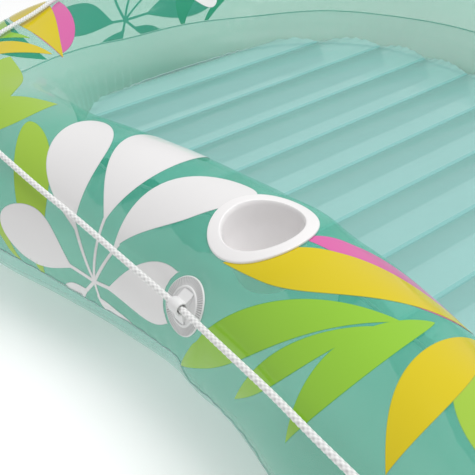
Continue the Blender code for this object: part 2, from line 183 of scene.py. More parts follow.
def seam_height(s):
    """The outer weld wanders a little, and steps down where a panel's corner ends."""
    turn = 2 * math.pi * np.asarray(s, float) / RING_LENGTH
    height = SEAM_W + 0.0030 * np.sin(9 * turn + 0.6) + 0.0015 * np.sin(21 * turn)
    for corner, way in ((SEAM_CORNER, 1), (RING_LENGTH - SEAM_CORNER, -1)):
        past = way * ((s - corner + RING_LENGTH / 2) % RING_LENGTH - RING_LENGTH / 2)
        swelling = 0.009 * np.exp(-(np.abs(np.minimum(past, 0)) / 0.040) ** 1.5)
        height = height + swelling * fade(past, 0.0, 0.016)
        height = height - 0.021 * fade(-past, -0.016, 0.0) * np.exp(-(np.maximum(past, 0) / 0.50) ** 2)
    return height


def skin_lift(s, w):
    """How far the film stands off a true tube: slack, puckers, folds and welded pieces."""
    turn = 2 * math.pi * s / RING_LENGTH
    lift = 0.0006 * np.sin(23 * turn + 9 * w) + 0.0004 * np.sin(37 * turn - 21 * w + 1.3)
    tight = np.clip(along_ring(CURVING, s) * 0.30, 0.08, 1.4)
    ripple = np.sin(142 * turn + 1.2 * np.sin(29 * turn) + 9 * (w - INNER_SEAM_W))
    lift = lift + 0.0022 * tight * ripple * fade(np.abs(w - INNER_SEAM_W), 0.004, 0.090)
    over_seam = np.abs(w - seam_height(s))
    lift = lift + 0.0005 * np.sin(165 * turn + 1.8 * np.sin(13 * turn)) * fade(over_seam, 0.002, 0.030)
    lift = lift - 0.0012 * fade(over_seam, 0.0, 0.010)
    for corner, way in ((SEAM_CORNER, 1), (RING_LENGTH - SEAM_CORNER, -1)):
        ds, dw = away(s, w, corner, SEAM_W)
        fold = np.exp(-((way * ds - 0.75 * dw) / 0.008) ** 2) * fade(np.abs(dw - 0.03), 0.0, 0.060)
        lift = lift - 0.0022 * fold
    for piece_s in CUPS.values():
        ds, dw = away(s, w, piece_s, CUP_W)
        spread = np.clip(dw, -0.10, 0.10) / TUBE_RADIUS
        aside = TUBE_RADIUS * np.sin(spread)
        gap = TUBE_RADIUS * (1 - np.cos(spread)) - CUP_BEND + np.sqrt(CUP_BEND ** 2 - aside ** 2)
        share = fade(np.hypot(ds, aside), CUP_FLANGE_R, 0.098)
        lift = lift * (1 - share) + ((gap + CUP_LIFT) / np.cos(spread) - 0.0007) * share
    for piece_s, piece_w in EYELETS:
        ds, dw = away(s, w, piece_s, piece_w)
        share = fade(np.hypot(ds, dw), EYELET_R, EYELET_R + 0.018)
        lift = lift * (1 - share) + (EYELET_LIFT - 0.0007) * share
    share = fade(np.hypot(*away(s, w, VALVE_S, VALVE_W)), 0.022, 0.045)
    return lift * (1 - share) + 0.0005 * share


def new_grid(name, cells_long, cells_wide):
    """A flat grid, and how far along and across it each of its points is, from 0 to 1."""
    bpy.ops.mesh.primitive_grid_add(x_subdivisions=cells_long, y_subdivisions=cells_wide, size=1.0)
    piece = bpy.context.object
    piece.name = name
    flat = np.zeros(len(piece.data.vertices) * 3, np.float32)
    piece.data.vertices.foreach_get("co", flat)
    flat = flat.reshape(-1, 3).astype(float)
    return piece, flat[:, 0] + 0.5, flat[:, 1] + 0.5


def reshape(piece, points):
    piece.data.vertices.foreach_set("co", np.asarray(points, np.float32).ravel())
    piece.data.update()


def merge_and_cut(piece, gone=None, flip=False):
    """Closes the piece where its edges meet, after taking away the points marked as gone."""
    bpy.context.view_layer.objects.active = piece
    piece.select_set(True)
    bpy.ops.object.mode_set(mode="EDIT")
    bpy.ops.mesh.select_mode(type="VERT")
    bpy.ops.mesh.select_all(action="DESELECT")
    bpy.ops.object.mode_set(mode="OBJECT")
    if gone is not None:
        piece.data.vertices.foreach_set("select", gone)
    bpy.ops.object.mode_set(mode="EDIT")
    if gone is not None:
        bpy.ops.mesh.delete(type="VERT")
    bpy.ops.mesh.select_all(action="SELECT")
    bpy.ops.mesh.remove_doubles(threshold=0.00002)
    bpy.ops.mesh.dissolve_degenerate(threshold=0.00002)
    if flip:
        bpy.ops.mesh.flip_normals()
    bpy.ops.object.mode_set(mode="OBJECT")
    bpy.ops.object.shade_smooth()
    piece.select_set(False)


def vinyl(name, color, roughness, alpha, peel=0.05, mottle=0.06):
    """Soft vinyl: a faint uneven tint, and the slight waviness of a cast film."""
    finish = bpy.data.materials.new(name)
    finish.use_nodes = True
    nodes = finish.node_tree.nodes
    links = finish.node_tree.links
    shader = nodes["Principled BSDF"]
    place = nodes.new("ShaderNodeTexCoord")
    cloud = nodes.new("ShaderNodeTexNoise")
    cloud.inputs["Scale"].default_value = 6.0
    cloud.inputs["Detail"].default_value = 3.0
    tint = nodes.new("ShaderNodeMix")
    tint.data_type = "RGBA"
    tint.inputs[6].default_value = (*[c * (1 - mottle) for c in color], 1)
    tint.inputs[7].default_value = (*[min(c * (1 + mottle), 1) for c in color], 1)
    wave = nodes.new("ShaderNodeTexNoise")
    wave.inputs["Scale"].default_value = 45.0
    wave.inputs["Detail"].default_value = 2.0
    bump = nodes.new("ShaderNodeBump")
    bump.inputs["Strength"].default_value = peel
    bump.inputs["Distance"].default_value = 0.004
    links.new(place.outputs["Object"], cloud.inputs["Vector"])
    links.new(cloud.outputs["Fac"], tint.inputs[0])
    links.new(tint.outputs[2], shader.inputs["Base Color"])
    links.new(place.outputs["Object"], wave.inputs["Vector"])
    links.new(wave.outputs["Fac"], bump.inputs["Height"])
    links.new(bump.outputs["Normal"], shader.inputs["Normal"])
    shader.inputs["Roughness"].default_value = roughness
    shader.inputs["IOR"].default_value = 1.52
    shader.inputs["Alpha"].default_value = alpha
    return finish


def ring_film(name, low_edge, high_edge, cells_round, finish):
    piece, share_s, share_w = new_grid(name, 960, cells_round)
    s = share_s * RING_LENGTH
    w = low_edge(s) + (high_edge(s) - low_edge(s)) * share_w
    reshape(piece, on_ring(s, w, skin_lift(s, w)))
    gone = np.hypot(*away(s, w, VALVE_S, VALVE_W)) < 0.014
    for piece_s in CUPS.values():
        gone |= np.hypot(*away(s, w, piece_s, CUP_W)) < 0.053
    merge_and_cut(piece, gone)
    piece.data.materials.append(finish)
    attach(piece, "root")
    return piece


upper_film = ring_film("upper_film", seam_height, lambda s: INNER_SEAM_W + 0 * s, 72,
                       vinyl("tinted_film", (0.035, 0.510, 0.335), 0.12, 0.42))
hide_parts(*(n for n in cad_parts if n.startswith("ring_upper_skin")))
lower_film = ring_film("lower_film", lambda s: INNER_SEAM_W + 0 * s,
                       lambda s: seam_height(s) + 2 * math.pi * TUBE_RADIUS, 48,
                       vinyl("plain_film", (0.320, 0.690, 0.590), 0.14, 0.55))
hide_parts("ring_lower_skin")

# --- Ring welds -------------------------------------------------------------
# The films are welded edge to edge by a hot bar. Outside, the weld is a
# narrow lip of doubled vinyl, a little milky, that stands just off the tube.
weld_vinyl = vinyl("weld_vinyl", (0.42, 0.62, 0.60), 0.30, 0.95)


def weld_lip(name, height, half_width, rise):
    piece, share_s, share_turn = new_grid(name, 1200, 8)
    s = share_s * RING_LENGTH
    turn = 2 * math.pi * share_turn
    w = height(s) - half_width * np.cos(turn)
    reshape(piece, on_ring(s, w, skin_lift(s, height(s)) + rise * np.sin(turn)))
    merge_and_cut(piece)
    piece.data.materials.append(weld_vinyl)
    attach(piece, "root")


weld_lip("outer_weld", seam_height, 0.0011, 0.0009)
weld_lip("inner_weld", lambda s: INNER_SEAM_W + 0 * s, 0.0025, 0.0010)

# --- Printed leaves ---------------------------------------------------------
# A leaf print in flat inks covers the upper film: a white fan leaf, lime
# fronds, and a spray of green, yellow and pink leaves, each with a darker rim.
# Leaves are laid out in millimetres: along the tube from the cup holder, and
# round it from its widest line. The print stops at the outer weld.
INKS = {
    "white": ((0.80, 0.79, 0.79), (0.60, 0.64, 0.63)),
    "lime": ((0.35, 0.56, 0.05), (0.22, 0.46, 0.10)),
    "green": ((0.28, 0.56, 0.035), (0.10, 0.42, 0.12)),
    "yellow": ((0.68, 0.54, 0.004), (0.42, 0.45, 0.05)),
    "pink": ((0.68, 0.13, 0.38), (0.45, 0.13, 0.30)),
}
PETAL = (0.60, 0.80, 0.50)
LEAF = (0.50, 0.80, 1.00)
STEM = (0.50, 0.0, 0.0)
# ink, base, tip, bow of its midline to the left, half width, shape: where it is
# widest, and how pointed its base and its tip are.
LEAVES = [
    ("white", (-242, 53), (-340, 214), 16, 41, PETAL),
    ("white", (-198, 76), (-240, 300), 4, 48, PETAL),
    ("white", (-166, 54), (-52, 200), 38, 38, PETAL),
    ("white", (-238, 5), (-376, 28), 0, 36, PETAL),
    ("white", (-167, 4), (-14, 54), 2, 35, PETAL),
    ("white", (-208, -14), (-268, -46), 0, 13, PETAL),
    ("white", (-190, -14), (-96, -84), 0, 26, PETAL),
    ("lime", (-412, 156), (-308, -46), 62, 27, (0.42, 0.70, 1.10)),
    ("lime", (-505, 96), (-432, 218), -14, 36, (0.50, 0.60, 0.90)),
    ("lime", (-470, 150), (-660, 214), -20, 32, LEAF),
    ("lime", (-470, 110), (-338, -50), 18, 9, (0.40, 0.60, 0.90)),
    ("green", (217, 193), (-12, -28), 14, 27, LEAF),
    ("green", (214, 170), (122, 6), 24, 16, LEAF),
    ("green", (223, 226), (236, 34), 12, 24, LEAF),
    ("pink", (215, 276), (44, 183), -28, 24, LEAF),
    ("yellow", (218, 284), (13, 109), 26, 36, LEAF),
    ("yellow", (240, 268), (344, 92), 8, 26, LEAF),
]
NODE = (-192, 4)
LEAVES += [("white", NODE, tuple(b + (t - b) * 0.06 for b, t in zip(base, tip)), 0, 1.9, STEM)
           for _, base, tip, *_ in LEAVES[:7]]
LEAVES += [("pink", (218, 284), (150, 186), 34, 1.2, STEM)]
SPRAYS = [(CUP_S, 1), (CUP_S + 0.93, 1), (0.14, 1),
          (RING_LENGTH - CUP_S, -1), (RING_LENGTH - CUP_S - 0.93, -1)]
OVER_OTHERS = ("white", "yellow")
RIM = 0.0007
CLEAR_OF_EYELET = 0.040
CLEAR_OF_VALVE = 0.017
CLEAR_OF_CUP = 0.051
SNAP = 0.010
INK_LIFT = 0.00020


def leaf(plan, origin, way, rim, lift):
    """One printed leaf, laid on the film of one spray, kept clear of welds and fittings."""
    ink, base, tip, bow, half_width, (widest, base_point, tip_point) = plan
    base, tip = np.array(base) / 1000.0, np.array(tip) / 1000.0
    direct = (tip - base) / np.linalg.norm(tip - base)
    base, tip = base - direct * rim, tip + direct * rim
    length = np.linalg.norm(tip - base)
    piece, share, side = new_grid(ink, max(12, int(length / 0.005)), max(2, int(half_width / 2.5)))
    share = 0.5 - 0.5 * np.cos(math.pi * share)
    control = (base + tip) / 2 + np.array([-direct[1], direct[0]]) * bow / 1000.0
    t = share[:, None]
    middle = base * (1 - t) ** 2 + control * 2 * t * (1 - t) + tip * t ** 2
    heading = (control - base) * (1 - t) + (tip - control) * t
    heading = heading / np.linalg.norm(heading, axis=1)[:, None]
    swell = np.sin(math.pi * np.clip(share, 0, 1) ** (math.log(0.5) / math.log(widest)))
    pointed = base_point + (tip_point - base_point) * share
    half = (half_width / 1000.0 + rim) * np.clip(swell, 0, 1) ** pointed
    spot = middle + (half * (2 * side - 1) * way)[:, None] * np.column_stack([-heading[:, 1], heading[:, 0]])
    s, w = origin + way * spot[:, 0], spot[:, 1]
    lowest = seam_height(s) + 0.0018
    gone = w < lowest - SNAP
    w = np.maximum(w, lowest)
    fittings = [(*eyelet, CLEAR_OF_EYELET) for eyelet in EYELETS] + [(VALVE_S, VALVE_W, CLEAR_OF_VALVE)]
    for piece_s, piece_w, clear in fittings:
        ds, dw = away(s, w, piece_s, piece_w)
        reach = np.maximum(np.hypot(ds, dw), 0.0001)
        gone |= reach < clear - SNAP
        out = np.maximum(clear / reach, 1.0) - 1.0
        s, w = s + ds * out, w + dw * out
    for piece_s in (CUP_S, RING_LENGTH - CUP_S):
        gone |= np.hypot(*away(s, w, piece_s, CUP_W)) < CLEAR_OF_CUP
    reshape(piece, on_ring(s, w, skin_lift(s, w) + lift))
    merge_and_cut(piece, gone)
    return piece


def join_as(name, parts, finish):
    bpy.ops.object.select_all(action="DESELECT")
    for part in parts:
        part.select_set(True)
    bpy.context.view_layer.objects.active = parts[0]
    bpy.ops.object.join()
    piece = bpy.context.object
    piece.name = name
    piece.data.materials.clear()
    piece.data.materials.append(finish)
    piece.select_set(False)
    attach(piece, "root")
    return piece


for ink, (color, rim_color) in INKS.items():
    lift = INK_LIFT + (0.00018 if ink in OVER_OTHERS else 0.0)
    plans = [plan for plan in LEAVES if plan[0] == ink]
    fills = [leaf(plan, *spray, 0.0, lift + 0.00008) for plan in plans for spray in SPRAYS]
    rims = [leaf(plan, *spray, RIM, lift) for plan in plans for spray in SPRAYS]
    join_as(ink + "_print", fills, vinyl(ink + "_ink", color, 0.15, 1.0, mottle=0.02))
    rim_ink = vinyl(ink + "_rim_ink", rim_color, 0.15, 1.0, mottle=0.02)
    join_as(ink + "_print_rim", rims, rim_ink)

# --- Floor ------------------------------------------------------------------
# The floor is an air mattress: two clear tinted sheets tied by upright webs,
# so that air makes it swell into ribs across the float. Each web is welded to
# the sheets along a flat double line. Its edges are welded inside the ring.
RIB_PITCH = 0.101
FIRST_WEB = -0.6565
WEB_COUNT = 14
FLOOR_END = 0.724
WEBS = [FIRST_WEB + RIB_PITCH * k for k in range(WEB_COUNT)]
VALLEYS = np.array([-FLOOR_END] + WEBS + [FLOOR_END])
valve_low, valve_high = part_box("floor_valve_seat")
VALVE_SEAT_HEIGHT = 0.1179
FLOOR_VALVE = ((valve_low[0] + valve_high[0]) / 2, (valve_low[1] + valve_high[1]) / 2, VALVE_SEAT_HEIGHT)
floor_vinyl = vinyl("floor_film", (0.37, 0.68, 0.65), 0.16, 0.62)
floor_weld_vinyl = vinyl("floor_weld_vinyl", (0.30, 0.68, 0.66), 0.25, 0.45)


def floor_half_width(x, height):
    """Half width of the floor there, up to the inner wall of the ring."""
    reach = np.sqrt(TUBE_RADIUS ** 2 - (height - TUBE_HEIGHT) ** 2) + 0.002
    half = SAMPLES // 2
    wall_x = CENTRE[:half, 0] - ALONG[:half, 1] * TUBE_RADIUS
    wall_y = -CENTRE[:half, 1] - ALONG[:half, 0] * TUBE_RADIUS
    return np.interp(x, wall_x, wall_y) + TUBE_RADIUS - reach


def floor_height(x, y_share, valley, crest):
    """A rib's rounded top between two valleys, with short gathers at the floor's edges."""
    bay = np.clip(np.searchsorted(VALLEYS, x, side="right") - 1, 0, len(VALLEYS) - 2)
    share = np.clip((x - VALLEYS[bay]) / (VALLEYS[bay + 1] - VALLEYS[bay]), 0, 1)
    swell = np.sin(math.pi * share) ** 0.90
    end = 1 - np.abs(2 * y_share - 1)
    gathers = 0.0016 * np.sin(2 * math.pi * x / 0.0168) * np.exp(-end / 0.035)
    return valley + (crest - valley) * swell + gathers * swell


def floor_sheet(name, valley, crest, way, cells_bay, cells_wide):
    piece, share_x, share_y = new_grid(name, cells_bay * (len(VALLEYS) - 1), cells_wide)
    bays = share_x * (len(VALLEYS) - 1)
    x = np.interp(bays, np.arange(len(VALLEYS)), VALLEYS)
    z = floor_height(x, share_y, valley, crest)
    y = floor_half_width(x, z) * (2 * share_y - 1)
    if way > 0:
        flat = fade(np.hypot(x - FLOOR_VALVE[0], y - FLOOR_VALVE[1]), 0.023, 0.048)
        z = z + (FLOOR_VALVE[2] - z) * flat
    reshape(piece, np.column_stack([x, y, z]))
    merge_and_cut(piece, flip=way < 0)
    piece.data.materials.append(floor_vinyl)
    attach(piece, "root")
    return piece


top_sheet = floor_sheet("floor_top", 0.1040, 0.1140, 1, 20, 90)
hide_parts("floor_top_sheet")
bottom_sheet = floor_sheet("floor_bottom", 0.0600, 0.0470, -1, 10, 60)
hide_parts("floor_bottom_sheet")

weld_lines = []
for x_web in WEBS:
    strip, share_x, share_y = new_grid("floor_weld", 8, 90)
    offset = (share_x - 0.5) * 0.0085
    z = floor_height(x_web + offset, share_y, 0.1040, 0.1140)
    z = z + 0.0002 + 0.0003 * np.exp(-((np.abs(offset) - 0.0030) / 0.0008) ** 2)
    y = floor_half_width(x_web + offset, z) * (2 * share_y - 1)
    reshape(strip, np.column_stack([x_web + offset, y, z]))
    merge_and_cut(strip)
    weld_lines.append(strip)
join_as("floor_welds", weld_lines, floor_weld_vinyl)
web_vinyl = vinyl("web_film", (0.30, 0.62, 0.56), 0.25, 0.75)
for k in range(WEB_COUNT):
    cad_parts[f"floor_web_{k + 1:02d}"].data.materials.clear()
    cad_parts[f"floor_web_{k + 1:02d}"].data.materials.append(web_vinyl)

# --- Cup holders ------------------------------------------------------------
# Each cup holder is one moulding of soft white vinyl: a deep cup with a wide
# flange that is bent to sit on the tube, where it is welded to the film.
cup_vinyl = vinyl("cup_vinyl", (0.86, 0.845, 0.845), 0.18, 1.0, peel=0.02, mottle=0.01)


def rounded(corners, steps=5):
    """A profile line with each corner (radius, height, rounding) turned into an arc."""
    line = []
    for i, (r, z, rounding) in enumerate(corners):
        here = Vector((r, z))
        if rounding == 0 or i in (0, len(corners) - 1):
            line.append(here)
            continue
        back = (Vector(corners[i - 1][:2]) - here).normalized()
        ahead = (Vector(corners[i + 1][:2]) - here).normalized()
        for k in range(steps + 1):
            t = k / steps
            first, last = here + back * rounding, here + ahead * rounding
            line.append(first * (1 - t) ** 2 + here * 2 * t * (1 - t) + last * t ** 2)
    return line


def turned(name, corners, sides, closed=False):
    """A piece spun round the Z axis from its rounded profile, faces outwards."""
    bpy.ops.mesh.primitive_circle_add(vertices=3, radius=0.001)
    piece = bpy.context.object
    piece.name = name
    line = rounded(corners)
    mesh = bpy.data.meshes.new(name)
    edges = [(i, i + 1) for i in range(len(line) - 1)] + ([(len(line) - 1, 0)] if closed else [])
    mesh.from_pydata([(p[0], 0, p[1]) for p in line], edges, [])
    piece.data = mesh
    bpy.ops.object.mode_set(mode="EDIT")
    bpy.ops.mesh.select_all(action="SELECT")
    bpy.ops.mesh.spin(steps=sides, angle=2 * math.pi, center=(0, 0, 0), axis=(0, 0, 1))
    bpy.ops.mesh.select_all(action="SELECT")
    bpy.ops.mesh.remove_doubles(threshold=0.00002)
    bpy.ops.mesh.normals_make_consistent(inside=False)
    bpy.ops.object.mode_set(mode="OBJECT")
    bpy.ops.object.shade_smooth()
    piece.select_set(False)
    return piece


def points_of(piece):
    flat = np.zeros(len(piece.data.vertices) * 3, np.float32)
    piece.data.vertices.foreach_get("co", flat)
    return flat.reshape(-1, 3).astype(float)


def placed(points, axes):
    """Points of an upright piece put on axes: along, across and out from the axes' point."""
    point, along, across, normal = axes
    return np.array(point) + points[:, :1] * np.array(along) + points[:, 1:2] * np.array(across) \
        + points[:, 2:3] * np.array(normal)


CUP_PROFILE = [
    (0.0, -0.0698, 0), (0.0275, -0.0698, 0.003), (0.0345, -0.0655, 0.003), (0.0452, -0.0260, 0.008),
    (0.0468, 0.0014, 0.001), (0.0600, 0.0014, 0.0012), (0.0600, 0.0046, 0.0014), (0.0463, 0.0049, 0.0012),
    (0.0440, 0.0010, 0.003), (0.0432, -0.0260, 0.008), (0.0326, -0.0630, 0.002), (0.0296, -0.0645, 0.001),
    (0.0262, -0.0680, 0.002), (0.0, -0.0680, 0),
]
for side, s in CUPS.items():
    cup = turned(side + "_cup", CUP_PROFILE, 128)
    points = points_of(cup)
    drop = CUP_BEND - np.sqrt(CUP_BEND ** 2 - points[:, 1] ** 2)
    points[:, 2] -= drop * fade(-points[:, 2], 0.008, 0.050)
    reshape(cup, placed(points, ring_axes(s, CUP_W)))
    cup.data.materials.append(cup_vinyl)
    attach(cup, "root")
    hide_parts(side + "_cup_holder")

# --- Rope eyelets -----------------------------------------------------------
# An eyelet is a moulded vinyl patch, ribbed like a coin's edge round its rim
# so that it bonds well, with an upright lug in the middle that the rope goes
# through. Ten are bonded to the ring.
RIBS = 72
RIB_MIDDLE = 0.0261
RIB_HALF = 0.0040
RIB_DEPTH = 0.0009
HOLE_HEIGHT = 0.0115
HOLE_R = 0.0054
eyelet_vinyl = vinyl("eyelet_vinyl", (0.80, 0.80, 0.80), 0.30, 1.0, peel=0.02, mottle=0.01)
eyelet_nodes = eyelet_vinyl.node_tree.nodes
# Painted shade: the colour is darkened towards a dark grey in the grooves between the rim's ribs, where shade
# falls, led by the groove attribute.
in_groove = eyelet_nodes.new("ShaderNodeAttribute")
in_groove.attribute_name = "groove"
painted_groove_shade = eyelet_nodes.new("ShaderNodeMix")
painted_groove_shade.data_type = "RGBA"
painted_groove_shade.inputs[7].default_value = (0.30, 0.31, 0.31, 1)
shown_tint = eyelet_nodes["Principled BSDF"].inputs["Base Color"].links[0].from_socket
eyelet_vinyl.node_tree.links.new(in_groove.outputs["Fac"], painted_groove_shade.inputs[0])
eyelet_vinyl.node_tree.links.new(shown_tint, painted_groove_shade.inputs[6])
eyelet_vinyl.node_tree.links.new(painted_groove_shade.outputs[2], eyelet_nodes["Principled BSDF"].inputs["Base Color"])
PATCH_PROFILE = [
    (0.0, 0.0016, 0), (0.0310, 0.0016, 0), (0.0320, 0.0022, 0.0003), (0.0312, 0.0036, 0.0004),
    (0.0306, 0.0036, 0), (0.0300, 0.0036, 0), (0.0275, 0.0036, 0), (0.0250, 0.0036, 0),
    (0.0222, 0.0036, 0), (0.0214, 0.0036, 0.0003), (0.0208, 0.0044, 0.0004), (0.0192, 0.0044, 0.0004),
    (0.0186, 0.0034, 0.0004), (0.0120, 0.0034, 0), (0.0060, 0.0034, 0), (0.0, 0.0034, 0),
]


def lug(name):
    """A triangular lug with a rounded nose and a hole for the rope, softly bevelled."""
    outline = [(0.018 * k / 6, 0.0026) for k in range(-6, 7)]
    outline += [(0.0082 * math.cos(a), HOLE_HEIGHT + 0.0082 * math.sin(a))
                for a in (math.radians(-20 + 10 * k) for k in range(23))]
    middle = np.array([0.0, HOLE_HEIGHT])
    outline = np.array(outline)
    turn = np.arctan2(outline[:, 1] - HOLE_HEIGHT, outline[:, 0])
    hole = middle + HOLE_R * np.column_stack([np.cos(turn), np.sin(turn)])
    inwards = middle - outline
    inwards = inwards / np.linalg.norm(inwards, axis=1)[:, None]
    rings = []
    for half, way in ((0.0086, -1), (0.0086, 1)):
        loops = [(outline, half - 0.0014), (outline + inwards * 0.0004, half - 0.0006),
                 (outline + inwards * 0.0012, half), (hole - (middle - hole) * 0.22, half),
                 (hole - (middle - hole) * 0.06, half - 0.0004), (hole, half - 0.0012)]
        rings += [(loop, way * place) for loop, place in (loops if way > 0 else loops[::-1])]
    count = len(outline)
    points = [(place, a, h) for loop, place in rings for a, h in loop]
    faces = []
    for i in range(len(rings)):
        j = (i + 1) % len(rings)
        faces += [(i * count + k, i * count + (k + 1) % count, j * count + (k + 1) % count, j * count + k)
                  for k in range(count)]
    mesh = bpy.data.meshes.new(name)
    mesh.from_pydata(points, [], faces)
    piece = bpy.data.objects.new(name, mesh)
    bpy.context.scene.collection.objects.link(piece)
    bpy.context.view_layer.objects.active = piece
    piece.select_set(True)
    bpy.ops.object.mode_set(mode="EDIT")
    bpy.ops.mesh.select_all(action="SELECT")
    bpy.ops.mesh.normals_make_consistent(inside=False)
    bpy.ops.object.mode_set(mode="OBJECT")
    bpy.ops.object.shade_smooth_by_angle(angle=math.radians(28))
    piece.select_set(False)
    return piece


patch = turned("patch", PATCH_PROFILE, RIBS * 4)
patch_points = points_of(patch)
radius = np.hypot(patch_points[:, 0], patch_points[:, 1])
angle = np.arctan2(patch_points[:, 1], patch_points[:, 0])
on_rim = (patch_points[:, 2] > 0.0030) * fade(np.abs(radius - RIB_MIDDLE), RIB_HALF, RIB_HALF + 0.0004)
groove = on_rim * (0.5 - 0.5 * np.cos(RIBS * angle)) ** 2
patch_points[:, 2] -= RIB_DEPTH * groove
# The groove depth is also kept as an attribute, which paints shade into the grooves.
patch.data.attributes.new("groove", "FLOAT", "POINT").data.foreach_set("value", groove.astype(np.float32))
lug_piece = lug("lug")
lug_points = points_of(lug_piece)
for number, (s, w) in enumerate(EYELETS, start=1):
    base = patch.copy()
    base.data = patch.data.copy()
    top = lug_piece.copy()
    top.data = lug_piece.data.copy()
    for part in (base, top):
        bpy.context.scene.collection.objects.link(part)
    stretch = 1 + float(along_ring(CURVING, s)) * TUBE_RADIUS * math.cos(w / TUBE_RADIUS)
    round_way = TUBE_RADIUS * np.arcsin(patch_points[:, 1] / TUBE_RADIUS)
    reshape(base, on_ring(s + patch_points[:, 0] / stretch, w + round_way, patch_points[:, 2]))
    reshape(top, placed(lug_points, ring_axes(s, w)))
    eyelet = join_as(f"eyelet_{number:02d}", [base, top], eyelet_vinyl)
    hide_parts(f"rope_eyelet_{number:02d}")
for pattern in (patch, lug_piece):
    bpy.data.objects.remove(pattern)

# --- Grab rope --------------------------------------------------------------
# One braided polyester rope, 8 mm thick, runs through all ten lugs and is
# tied to itself near the foot end. It is pulled straight from lug to lug.
ROPE_R = 0.0040
ROPE_CLEARANCE = 0.0075
KNOT_HALF = 0.014
LOBES = 4
LOBE_LENGTH = 0.0084
CUTS = 6


def off_tube(points, clearance):
    """Moves points straight out of the tube until they clear it."""
    moved = []
    for point in points:
        nearest = CENTRE[np.argmin(np.hypot(*(CENTRE - point[:2]).T))]
        axis = np.array([*nearest, TUBE_HEIGHT])
        spoke = point - axis
        reach = np.linalg.norm(spoke)
        moved.append(axis + spoke * max(1.0, (TUBE_RADIUS + clearance) / reach))
    return moved


def smooth_line(points, spacing):
    """A smooth line through the points, with a point every spacing."""
    points = np.array(points)
    padded = np.vstack([2 * points[0] - points[1], points, 2 * points[-1] - points[-2]])
    line = []
    for i in range(1, len(padded) - 2):
        a, b, c, d = padded[i - 1:i + 3]
        reach = np.linalg.norm(c - b)
        before = (c - a) / max(np.linalg.norm(c - a), 1e-9) * reach
        after = (d - b) / max(np.linalg.norm(d - b), 1e-9) * reach
        for t in np.linspace(0, 1, max(int(reach / 0.0008), 3), endpoint=False):
            line.append(b * (2 * t ** 3 - 3 * t ** 2 + 1) + before * (t ** 3 - 2 * t ** 2 + t)
                        + c * (3 * t ** 2 - 2 * t ** 3) + after * (t ** 3 - t ** 2))
    line = np.array(line + [points[-1]])
    travelled = np.append(0, np.cumsum(np.linalg.norm(np.diff(line, axis=0), axis=1)))
    even = np.linspace(0, travelled[-1], int(travelled[-1] / spacing))
    return np.column_stack([np.interp(even, travelled, line[:, k]) for k in range(3)])


def braided(name, points, radius, finish):
    """A braid laid along the points: its strands cross and stand out in rows of lobes."""
    line = smooth_line(points, LOBE_LENGTH / CUTS)
    heading = np.gradient(line, axis=0)
    heading = heading / np.linalg.norm(heading, axis=1)[:, None]
    side = np.zeros_like(line)
    side[0] = np.cross(heading[0], (0.3, 0.2, 1.0))
    side[0] /= np.linalg.norm(side[0])
    for i in range(1, len(line)):
        side[i] = side[i - 1] - heading[i] * np.dot(side[i - 1], heading[i])
        side[i] /= np.linalg.norm(side[i])
    up = np.cross(heading, side)
    piece, share, round_share = new_grid(name, len(line) - 1, LOBES * CUTS)
    row = np.rint(share * (len(line) - 1)).astype(int)
    turn = 2 * math.pi * round_share
    crest = np.cos(LOBES * turn) * np.cos(2 * math.pi * row / CUTS)
    reach = radius * (0.87 + 0.15 * crest) * ((row > 0) & (row < len(line) - 1))
    reshape(piece, line[row] + side[row] * (reach * np.cos(turn))[:, None]
            - up[row] * (reach * np.sin(turn))[:, None])
    # Painted shade: each point keeps how far out on a strand's crest it lies, so the yarn colour is lighter
    # on the crests and darker between the strands.
    painted_strand_shade = piece.data.attributes.new("painted_strand_shade", "FLOAT", "POINT")
    painted_strand_shade.data.foreach_set("value", (0.5 + 0.5 * crest).astype(np.float32))
    merge_and_cut(piece)
    piece.data.materials.append(finish)
    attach(piece, "root")
    return piece


def rope_fibre():
    """White polyester yarn: matt, with fine fibres along the strands and a little sheen, and painted shade
    that darkens it between the strands.
    """
    finish = bpy.data.materials.new("rope_yarn")
    finish.use_nodes = True
    nodes = finish.node_tree.nodes
    links = finish.node_tree.links
    shader = nodes["Principled BSDF"]
    place = nodes.new("ShaderNodeTexCoord")
    fibres = nodes.new("ShaderNodeTexNoise")
    fibres.inputs["Scale"].default_value = 900.0
    fibres.inputs["Detail"].default_value = 3.0
    tint = nodes.new("ShaderNodeMix")
    tint.data_type = "RGBA"
    tint.inputs[6].default_value = (0.52, 0.52, 0.52, 1)
    tint.inputs[7].default_value = (0.95, 0.95, 0.94, 1)
    painted_strand_shade = nodes.new("ShaderNodeAttribute")
    painted_strand_shade.attribute_name = "painted_strand_shade"
    shade = nodes.new("ShaderNodeMath")
    shade.operation = "MULTIPLY_ADD"
    shade.inputs[1].default_value = 0.35
    bump = nodes.new("ShaderNodeBump")
    bump.inputs["Strength"].default_value = 0.5
    bump.inputs["Distance"].default_value = 0.0004
    links.new(place.outputs["Object"], fibres.inputs["Vector"])
    links.new(fibres.outputs["Fac"], shade.inputs[0])
    links.new(painted_strand_shade.outputs["Fac"], shade.inputs[2])
    links.new(shade.outputs["Value"], tint.inputs[0])
    links.new(tint.outputs[2], shader.inputs["Base Color"])
    links.new(fibres.outputs["Fac"], bump.inputs["Height"])
    links.new(bump.outputs["Normal"], shader.inputs["Normal"])
    shader.inputs["Roughness"].default_value = 0.75
    shader.inputs["Sheen Weight"].default_value = 0.3
    return finish


